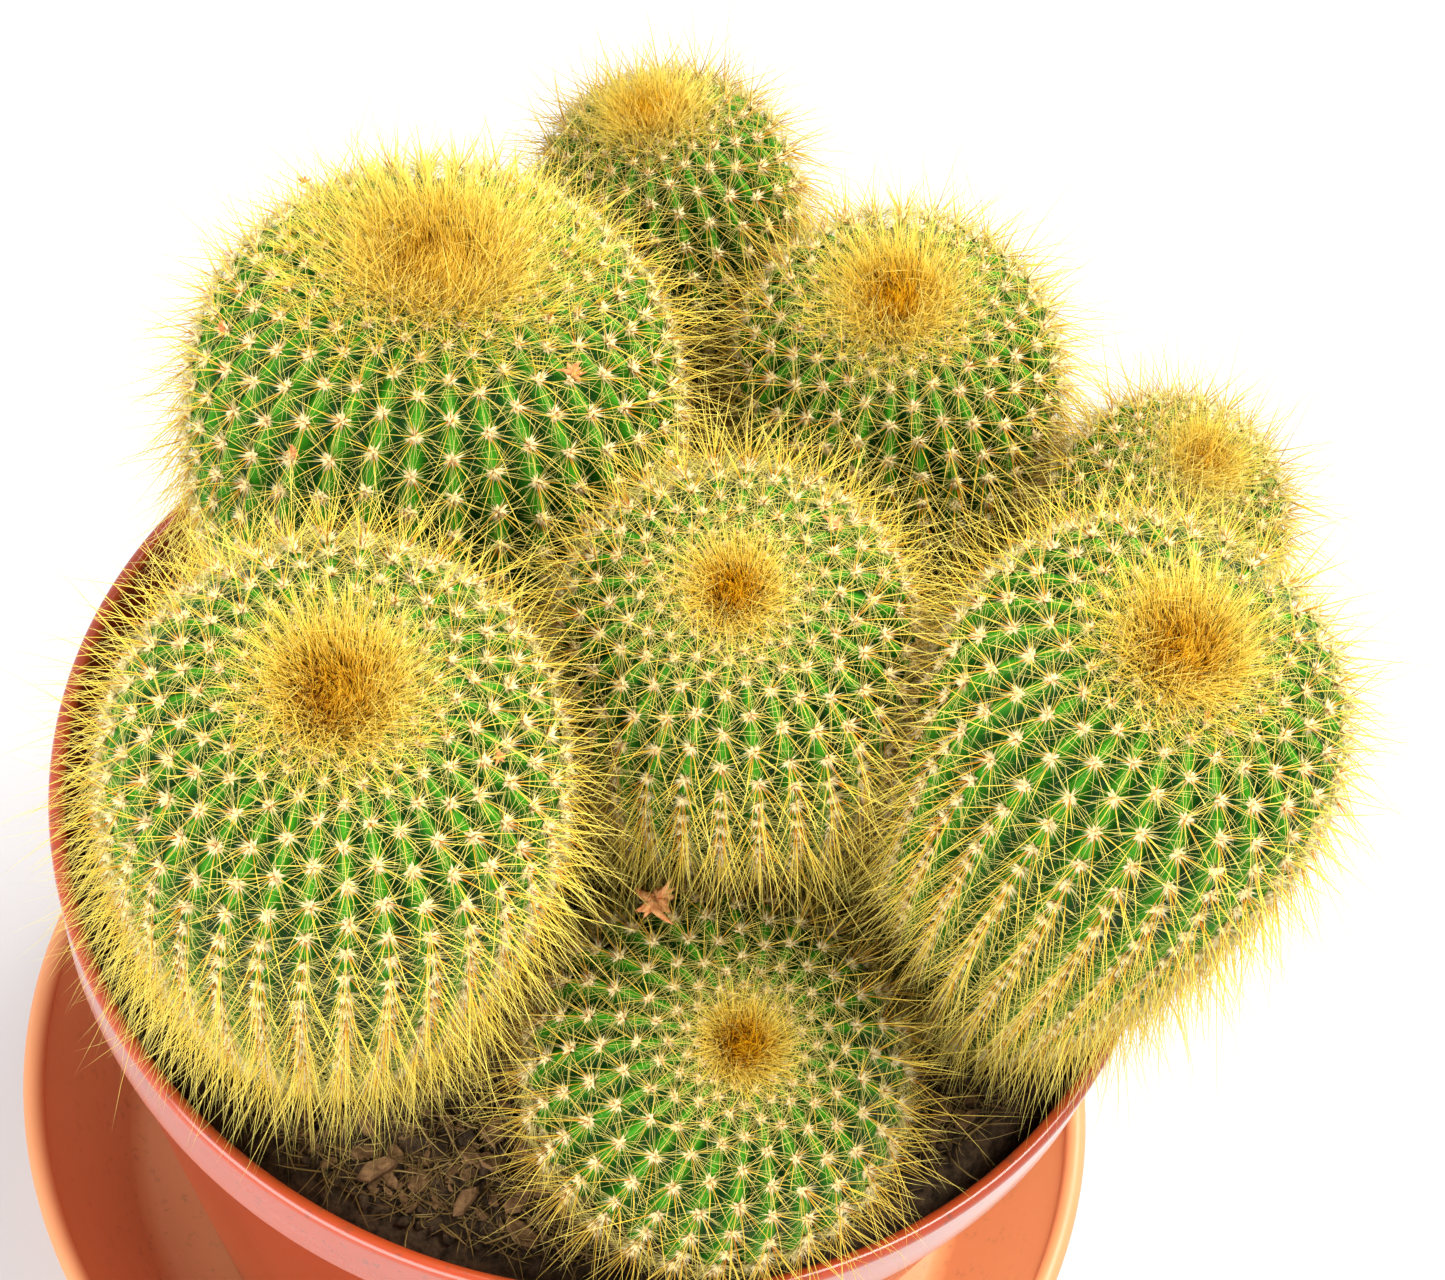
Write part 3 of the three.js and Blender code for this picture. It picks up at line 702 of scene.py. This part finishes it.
def radial_spines(at):
    """Thin bristles spread almost flat over the skin."""
    stem, rng, per = at.stem, at.rng, RADIALS
    total = at.count * per
    direction, _ = at.spread(per, 55, 84)
    length = rng.uniform(*RADIAL_LENGTH, total) * MM * many(0.65 + 0.35 * at.size, per)
    bend = many(at.normal, per) * rng.uniform(-0.1, 0.03, (total, 1)) + rng.normal(0, 0.05, (total, 3))
    base = many(at.place, per) + direction * 0.3 * MM
    length = kept_clear(base, direction, bend, length)
    tint = np.clip(many(at.brown_and_shade, per) + 0.5 * CROWNS[stem.name][2] + rng.normal(0, 0.1, total), 0, 1)
    radius = rng.uniform(*RADIAL_RADIUS, total) * MM
    verts, faces, uv = strands(base, direction, bend, length, radius, tint, 2, 3)
    mesh_piece(f"radial_spines_{stem.name}", verts, faces, RADIAL, uv)


def central_spines(at):
    """Golden spines: erect near the crown, outwards on the flank and hanging in a skirt at the foot, with one
    long fine bristle at each areole."""
    stem, rng, per = at.stem, at.rng, CENTRALS
    long, _, brown, _ = CROWNS[stem.name]
    total = at.count * per
    bristle = np.tile(np.arange(per) == per - 1, at.count)
    young = 1 - smoothstep(0.35 * stem.girth, 0.95 * stem.girth, at.from_apex)
    skirt = smoothstep(1.0 * stem.girth, 1.9 * stem.girth, at.from_apex)
    direction, turn = at.spread(per, 14, 52)
    pull = (0.12 + 1.15 * skirt - 0.4 * young)[:, None] * at.down
    direction = unit(direction + many(pull, per))
    length = rng.uniform(*CENTRAL_LENGTH, total) + 2.0 * np.maximum(np.cos(turn), 0) + 5.5 * many(skirt, per)
    length = length * MM * np.where(rng.random(total) > 0.85, 1.4, 1.0)
    length = np.where(bristle, rng.uniform(*BRISTLE_LENGTH, total) * MM, length)
    length = length * many(0.72 + 0.28 * at.size, per) * many(1 - young * (0.58 - 0.5 * long), per)
    droop = np.array([0, 0, -1.0]) * rng.uniform(0.0, 0.25, (total, 1)) * many(0.3 + skirt, per)[:, None]
    bend = rng.normal(0, 0.11, (total, 3)) + droop
    base = many(at.place, per) + direction * 0.1 * MM
    length = kept_clear(base, direction, bend, length)
    tint = np.clip(many(at.brown_and_shade, per) + brown + rng.normal(0, 0.12, total), 0, 1)
    radius = rng.uniform(*CENTRAL_RADIUS, total) * MM * np.where(bristle, 0.7, 1.0)
    verts, faces, uv = strands(base, direction, bend, length, radius, tint, 4, 3, 1.3)
    mesh_piece(f"central_spines_{stem.name}", verts, faces, CENTRAL, uv)


def crown(stem, rng):
    """The young spines packed in the hollow top, with a fringe along the ribs around it. share is a spine's
    distance from the apex over the distance of the hollow's edge."""
    long, brown, _, wide = CROWNS[stem.name]
    edge = (0.18 + 0.17 * wide) * stem.girth
    n = int(CROWN_SPINES * (stem.girth / CROWN_GIRTH) ** 1.6 * (0.7 + 0.5 * wide))
    share = np.sqrt(rng.random(n))
    fringe = rng.random(n) < 0.15 + 0.3 * wide
    share = np.where(fringe, 1 + rng.random(n) ** 1.5 * (0.5 + 0.7 * wide), share)
    at = stem.length - share * edge * 1.02
    turn = rng.uniform(0, TAU, n)
    rib = TAU / stem.ribs
    turn = np.where(fringe, np.round(turn / rib) * rib + rng.normal(0, 0.12 * rib, n), turn)
    _, _, side = stem.lie(at, turn)
    place = stem.surface(at, turn, -0.1 * MM)
    outward = np.cos(turn)[:, None] * stem.east + np.sin(turn)[:, None] * stem.north
    inner = np.clip(share, 0, 1)
    lean = -0.45 * (1 - inner) + 0.55 * inner**1.5 + 0.35 * np.clip(share - 1, 0, 1)
    direction = unit(stem.axis + outward * lean[:, None] + side * 0.2 + rng.normal(0, 0.22, (n, 3)))
    length = 1.5 + 4.2 * long + 1.2 * inner + rng.uniform(-0.8, 1.0, n) + 2.0 * (rng.random(n) > 0.95)
    length = length * MM * np.where(fringe, 0.95, 1)
    bend = outward * (0.2 * inner)[:, None] + rng.normal(0, 0.09, (n, 3))
    golden = 0.5 * (1 - smoothstep(0.7, 1.5, share))
    tint = np.clip(golden + 0.7 * brown * (1 - smoothstep(0.25, 0.9, share)) + rng.normal(0, 0.09, n), 0, 1)
    radius = rng.uniform(*CROWN_RADIUS, n) * MM
    verts, faces, uv = strands(place, direction, bend, length, radius, tint, 3, 3, 1.6)
    ob = mesh_piece(f"crown_spines_{stem.name}", verts, faces, CROWN, uv)
    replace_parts(ob, "crown_tuft_" + stem.name)


for number, stem in enumerate(stems.values()):
    rng = np.random.default_rng(100 + number)
    skin(stem, rng)
    at = Areoles(stem, rng)
    wool(at)
    radial_spines(at)
    central_spines(at)
    crown(stem, rng)

# ---------------------------------------------------------------- pot and saucer


def section(node):
    """Radii and heights of a turned solid's corners in one half plane through its axis."""
    corners, tris = solid_of(node)
    reach = np.hypot(corners[:, 0], corners[:, 1])
    turn = np.arctan2(corners[:, 1], corners[:, 0])
    widest = np.argmax(reach)
    same_turn, on_axis = np.abs(turn - turn[widest]) < 2e-4, reach < 1e-5
    half_plane = same_turn | on_axis
    return reach[half_plane], corners[half_plane, 2]


def rounded(points, fillets):
    """The outline with each corner replaced by a curve of about that size."""
    steps = 6
    points = [np.array(p, float) for p in points]
    out = [points[0]]
    for before, corner, after, fillet in zip(points, points[1:], points[2:], fillets, strict=False):
        size = min(fillet, 0.48 * np.linalg.norm(before - corner), 0.48 * np.linalg.norm(after - corner))
        start, end = corner + unit(before - corner) * size, corner + unit(after - corner) * size
        for t in np.linspace(0, 1, steps):
            out.append((1 - t) ** 2 * start + 2 * t * (1 - t) * corner + t * t * end)
    return [*out, points[-1]]


def at_level(reach, z, level):
    """Radii of the outline's corners at this height, in rising order."""
    return np.sort(reach[np.abs(z - level) < SAME_LEVEL])


def lip(centre, top, half, turns):
    """A lip's round edge over its top, at these angles from the outside."""
    return [(centre + half * math.cos(t), top - half + half * math.sin(t)) for t in turns]


def pot():
    """Wall, collar, rounded lip, floor and foot, from the levels where the CAD's outline turns."""
    reach, z = section("pot")
    levels = np.unique(np.round(z, 5))
    foot_z, top = levels[0], levels[-1]
    collar_z = levels[(levels > 0.5 * top) & (levels < top - 5 * MM)][-1]
    foot = at_level(reach, z, foot_z)
    collar = at_level(reach, z, collar_z)
    floor_levels = [v for v in levels if foot_z < v < 0.2 * top]
    under_z, inside_z = floor_levels[0], floor_levels[-1]
    inside_radius = at_level(reach, z, inside_z)[-1]
    half = reach.max() - reach[np.argmax(z)]
    edge = lip(reach.max() - half, top, half, np.linspace(0, math.pi, 13))
    outline = rounded(
        [
            (0, under_z), (foot[0], under_z), (foot[0], foot_z), (foot[-1], foot_z), (collar[-2], collar_z),
            (collar[-1], collar_z), *edge, (collar[0], collar_z), (inside_radius, inside_z), (0, inside_z),
        ],
        [0.3 * MM, 0.3 * MM, 0.8 * MM, 0.5 * MM, 0.7 * MM, *[0.2 * MM] * len(edge), 4 * MM, 3 * MM],
    )
    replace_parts(lathed("flower_pot", outline, POT), "pot")


def saucer():
    """A flared wall with a rounded lip round a flat dish."""
    reach, z = section("saucer")
    centre = reach[np.argmax(z)]
    edge = lip(centre, z.max(), reach.max() - centre, np.linspace(-0.35, math.pi + 0.35, 15))
    base_radius = at_level(reach, z, z.min())[-1]
    dish = np.unique(np.round(z[(z > 0) & (z < 0.3 * z.max())], 5))
    low, high = ((at_level(reach, z, level)[-1], level) for level in (dish[0], dish[-1]))
    outline = rounded(
        [(0, 0), (base_radius, 0), *edge, high, low, (0, low[1])],
        [1.2 * MM, *[0.3 * MM] * len(edge), 1.4 * MM, 1.4 * MM],
    )
    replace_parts(lathed("pot_saucer", outline, SAUCER), "saucer")


pot()
saucer()

# ---------------------------------------------------------------- soil and what lies on it


def soil_body(rng):
    """The soil with a lumpy, grainy top. Returns its edge's radius and level and its mound's height."""
    corners, _ = solid_of("soil")
    reach = np.hypot(corners[:, 0], corners[:, 1])
    bottom = corners[:, 2].min()
    bottom_radius = reach[corners[:, 2] < bottom + 1e-5].max()
    shoulder = reach.max()
    shoulder_z = corners[np.argmax(reach), 2]
    edge_z = np.unique(np.round(corners[reach > shoulder - 3.2 * MM][:, 2], 5)).max()
    edge = reach[np.abs(corners[:, 2] - edge_z) < SAME_LEVEL].max()
    mound = corners[:, 2].max() - edge_z
    cols, rows = 420, 150
    turn = np.arange(cols) / cols * TAU
    radii = np.linspace(edge, 0.4 * MM, rows)
    heights = np.broadcast_to(edge_z + mound * (1 - (radii / edge) ** 2)[:, None], (rows, cols))
    top = np.stack([radii[:, None] * np.cos(turn), radii[:, None] * np.sin(turn), heights], -1).reshape(-1, 3)
    worn = smoothstep(0, 5 * MM, edge - np.hypot(top[:, 0], top[:, 1]))
    lumps = bumps(rng, top * [1, 1, 0], 14 * MM, 5)
    top[:, 2] += (0.9 * lumps * worn - 0.8 * (1 - worn)) * MM - SOIL_SINK
    top[:, 2] += rng.normal(0, 0.16 * MM, len(top))
    bulge = ((shoulder + edge) / 2, (shoulder_z + edge_z) / 2 + 1.2 * MM)
    side = [(bottom_radius, bottom), (shoulder, shoulder_z), bulge]
    walls = [np.stack([r * np.cos(turn), r * np.sin(turn), np.full(cols, h)], 1) for r, h in side]
    verts = np.concatenate([*walls, top, [[0, 0, bottom], [0, 0, top[-1, 2]]]])
    rows += len(side)
    quads, _ = wrapped(rows, cols)
    n = rows * cols
    uv = verts[:, :2] / (2.1 * shoulder) + 0.5
    ob = mesh_piece("potting_soil", verts, [quads, *fans(rows, cols, n, n + 1)], SOIL, uv)
    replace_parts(ob, "soil")
    return edge, edge_z, mound


soil_edge, soil_z, soil_mound = soil_body(np.random.default_rng(21))


def soil_height(x, y):
    return soil_z + soil_mound * (1 - (x * x + y * y) / soil_edge**2) - SOIL_SINK


def open_places(rng, count, margin):
    """Random places on the soil that no stem covers."""
    found = np.zeros((0, 3))
    while len(found) < count:
        x, y = rng.uniform(-soil_edge, soil_edge, (2, 4000))
        points = np.stack([x, y, soil_height(x, y)], 1)
        ok = np.hypot(x, y) < soil_edge - margin
        for stem in stems.values():
            ok &= ~stem.inside(points + [0, 0, 1 * MM], 0.3 * MM)
        found = np.concatenate([found, points[ok]])
    return found[:count]


def scattered(name, bodies, turns, places, faces, material, uv=None, flat=False):
    """Copies of a small form, each with its own corners, turned about z and put in place. Their map is uv or
    the view from above."""
    c, s = np.cos(turns)[:, None], np.sin(turns)[:, None]
    x, y = bodies[..., 0] * c - bodies[..., 1] * s, bodies[..., 0] * s + bodies[..., 1] * c
    verts = (np.stack([x, y, bodies[..., 2]], -1) + places[:, None]).reshape(-1, 3)
    offset = (np.arange(len(bodies)) * bodies.shape[1])[:, None, None]
    faces = [(f[None] + offset).reshape(-1, f.shape[1]) for f in faces]
    uv = verts[:, :2] * 5 if uv is None else uv
    return mesh_piece(name, verts, faces, material, uv, flat, own_bake=False)


def pebbles(name, rng, places, sizes):
    """Soil crumbs: small spheres with pushed corners."""
    lat, lon = 5, 7
    theta = np.pi * (np.arange(1, lat) / lat)
    phi = TAU * np.arange(lon) / lon
    x, y = np.outer(np.sin(theta), np.cos(phi)), np.outer(np.sin(theta), np.sin(phi))
    ball = np.stack([x, y, np.outer(np.cos(theta), np.ones(lon))], -1).reshape(-1, 3)
    ball = np.concatenate([ball, [[0, 0, 1.0], [0, 0, -1.0]]])
    k, m = len(places), len(ball)
    push = rng.uniform(0.7, 1.15, (k, m, 1))
    shape = np.stack([rng.uniform(0.8, 1.3, k), rng.uniform(0.55, 0.95, k), rng.uniform(0.5, 0.9, k)], 1)
    bodies = ball[None] * push * shape[:, None] * sizes[:, None, None]
    turns = rng.uniform(0, TAU, k)
    quads, _ = wrapped(lat - 1, lon)
    ends = [fan[:, [1, 0, 2]] for fan in fans(lat - 1, lon, m - 2, m - 1)]
    uv = np.tile(np.stack([0.5 + 0.5 * ball[:, 0], 0.5 + 0.5 * ball[:, 1]], 1), (k, 1))
    scattered(name, bodies, turns, places, [quads[:, ::-1], *ends], SOIL, uv)


def shards(name, rng, places, sizes, turns, thickness):
    """Flat splinters of bark with six uneven corners, a bevel above and below and a little tilt."""
    k, corners = len(places), 6
    angle = (np.arange(corners) / corners * TAU)[None] + rng.uniform(-0.3, 0.3, (k, corners))
    reach = sizes[:, None] * rng.uniform(0.6, 1.0, (k, corners))
    slim = rng.uniform(0.35, 0.62, k)[:, None]
    half = thickness[:, None] * rng.uniform(0.35, 0.65, (k, corners))
    rings = []
    for level, inset in ((-1, 0.86), (0.3, 1.0), (1, 0.8)):
        lift = level * half + rng.normal(0, 0.06, (k, corners)) * thickness[:, None]
        width = reach * inset * slim
        rings.append(np.stack([reach * inset * np.cos(angle), width * np.sin(angle), lift], -1))
    middles = [ring.mean(1, keepdims=True) for ring in (rings[0], rings[2])]
    body = np.concatenate([*rings, *middles], axis=1)
    lean = rng.normal(0, 0.16, (k, 2)) * (sizes / sizes.max())[:, None]
    body[..., 2] += body[..., 0] * lean[:, :1] + body[..., 1] * lean[:, 1:]
    quads, _ = wrapped(3, corners)
    faces = [quads, *fans(3, corners, 3 * corners, 3 * corners + 1)]
    return scattered(name, body, turns, places, faces, BARK, flat=True)


def crumbs(rng):
    for number in range(2):
        places = open_places(rng, CRUMBS, 1.0 * MM)
        sizes = np.minimum(rng.gamma(2.2, 0.26, CRUMBS), 1.9) * MM
        pebbles(f"soil_crumbs_{number + 1}", rng, places + [0, 0, 0.2 * MM], sizes)


def bark_bits(rng):
    places = open_places(rng, BARK_BITS, 3 * MM) + [0, 0, 0.8 * MM]
    sizes = np.minimum(rng.gamma(2.4, 0.5, BARK_BITS) + 0.4, 3.6) * MM
    turns = rng.uniform(0, TAU, BARK_BITS)
    shards("bark_bits", rng, places, sizes, turns, 0.3 * sizes + 0.25 * MM)


def fibres(rng):
    places = open_places(rng, FIBRES, 1.5 * MM) + [0, 0, 0.6 * MM]
    turn = rng.uniform(0, TAU, FIBRES)
    lie = unit(np.stack([np.cos(turn), np.sin(turn), rng.uniform(-0.05, 0.4, FIBRES)], 1))
    bend = rng.normal(0, 0.28, (FIBRES, 3)) * [1, 1, 0.35]
    length = rng.uniform(*FIBRE_LENGTH, FIBRES) * MM
    radius = rng.uniform(*FIBRE_RADIUS, FIBRES) * MM
    verts, faces, uv = strands(places, lie, bend, length, radius, rng.random(FIBRES), 4, 3, 3.0)
    mesh_piece("soil_fibres", verts, faces, FIBRE, uv)


def bark_chip(number, node):
    """A chip of the CAD's, in its box."""
    low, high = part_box(node)
    centre, extent = (low + high) / 2, high - low
    sizes = (np.array([v]) for v in (0.5 * max(extent.x, extent.y), math.atan2(extent.y, extent.x), extent.z))
    chip = shards(f"chip_{number}", np.random.default_rng(59 + number), np.array([[*centre]]), *sizes)
    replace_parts(chip, node)


litter_rng = np.random.default_rng(33)
crumbs(litter_rng)
bark_bits(litter_rng)
fibres(litter_rng)
for number, node in enumerate(CHIPS, 1):
    bark_chip(number, node)

# ---------------------------------------------------------------- fallen bits

# Where each dried bit is caught: head, share of its outline from root to apex, angle from the head's east,
# and distance from the crests and size, in millimetres. The first is the largest, between two heads.
CAUGHT = (
    ("front", 0.814, 2.33, 10.0, 3.6),
    ("centre", 0.872, 0.87, 1.8, 1.7),
    ("right", 0.941, 5.22, 1.6, 1.1),
    ("back_left", 0.753, 3.5, 1.6, 1.3),
    ("back_left", 0.809, 5.74, 1.9, 1.9),
    ("back_left", 0.753, 2.42, 3.6, 1.2),
    ("back_left", 0.725, 4.27, 1.6, 1.1),
    ("front_left", 0.837, 6.17, 1.5, 1.2),
)


def dried_bits(rng):
    """Shrivelled flowers: withered petals that start round one point, each caught among a head's spines."""
    petals = 16
    parts = []
    for name, share, turn, lift, size in CAUGHT:
        stem, size = stems[name], size * MM
        s, turn = np.array([share * stem.length]), np.array([turn])
        place, out = stem.surface(s, turn, lift * MM)[0], stem.lie(s, turn)[0][0]
        spare = unit(np.cross(out, [0.3, 0.2, 1.0]))
        around = rng.uniform(0, TAU, (petals, 1))
        flat = np.cos(around) * spare + np.sin(around) * np.cross(out, spare)
        direction = out * rng.uniform(-0.2, 1.0, (petals, 1)) + flat * rng.uniform(0.3, 0.9, (petals, 1))
        bend = rng.normal(0, 0.3, (petals, 3)) - out * 0.2
        base = place + flat * 0.12 * size
        length = size * rng.uniform(0.5, 1.1, petals)
        radius = size * rng.uniform(0.14, 0.26, petals)
        parts.append((base, unit(direction), bend, length, radius, rng.random(petals)))
    joined = [np.concatenate(column) for column in zip(*parts, strict=True)]
    verts, faces, _ = strands(*joined, 5, 5, 2.5)
    mesh_piece("dried_flowers", verts, faces, HUSK)


dried_bits(np.random.default_rng(77))

# ---------------------------------------------------------------- floor, light and camera

bpy.ops.mesh.primitive_plane_add(size=14, location=(0, 0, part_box("saucer")[0].z))
floor = bpy.context.object
floor.name = "floor"
paper = Look("floor_paper", (0.5, 0.5, 0.51), 0.7, Emission_Color=(1, 1, 1, 1), Emission_Strength=0.16)
floor.data.materials.append(paper.material)


def sky():
    """White light from below and level, grey from above."""
    world = bpy.context.scene.world or bpy.data.worlds.new("world")
    bpy.context.scene.world = world
    world.use_nodes = True
    nodes, links = world.node_tree.nodes, world.node_tree.links
    level = nodes.new("ShaderNodeSeparateXYZ")
    links.new(nodes.new("ShaderNodeTexCoord").outputs["Generated"], level.inputs["Vector"])
    fade = nodes.new("ShaderNodeValToRGB")
    links.new(level.outputs["Z"], fade.inputs["Fac"])
    fade.color_ramp.elements[0].color = (1.0, 1.0, 1.0, 1)
    fade.color_ramp.elements[1].position = 0.9
    fade.color_ramp.elements[1].color = (0.42, 0.43, 0.45, 1)
    links.new(fade.outputs["Color"], nodes["Background"].inputs["Color"])
    nodes["Background"].inputs["Strength"].default_value = 1.0


def panel(name, place, target, size, watts, color=(1, 1, 1)):
    """A soft rectangular light turned to its target."""
    light = bpy.data.lights.new(name, "AREA")
    light.shape = "RECTANGLE"
    light.size, light.size_y = size
    light.energy = watts
    light.color = color
    ob = bpy.data.objects.new(name, light)
    bpy.context.scene.collection.objects.link(ob)
    ob.location = place
    ob.rotation_euler = (Vector(target) - Vector(place)).to_track_quat("-Z", "Y").to_euler()


sky()
middle = (0, 0, pot_top)
panel("key_light", (0.42, 0.25, 1.1), middle, (0.8, 0.6), 23, (1, 0.97, 0.9))
panel("front_light", (-0.45, -0.8, 0.55), middle, (1.0, 0.7), 13)

# The photo's camera, fitted to the ellipses of the lip and the saucer.
camera = bpy.data.cameras.new("camera")
camera.lens = 99.65
camera.sensor_width = 36
eye = bpy.data.objects.new("camera", camera)
bpy.context.scene.collection.objects.link(eye)
right, up = Vector((0.9781, 0.1707, 0.1187)).normalized(), Vector((-0.2079, 0.8032, 0.5582)).normalized()
back = right.cross(up).normalized()
turned = Matrix((right, up, back)).transposed().to_4x4()
eye.matrix_world = Matrix.Translation((0.0114, -0.3264, 0.6297)) @ turned
camera.clip_start, camera.clip_end = 0.01, 20
bpy.context.scene.camera = eye
bpy.context.scene.view_settings.view_transform = "Standard"
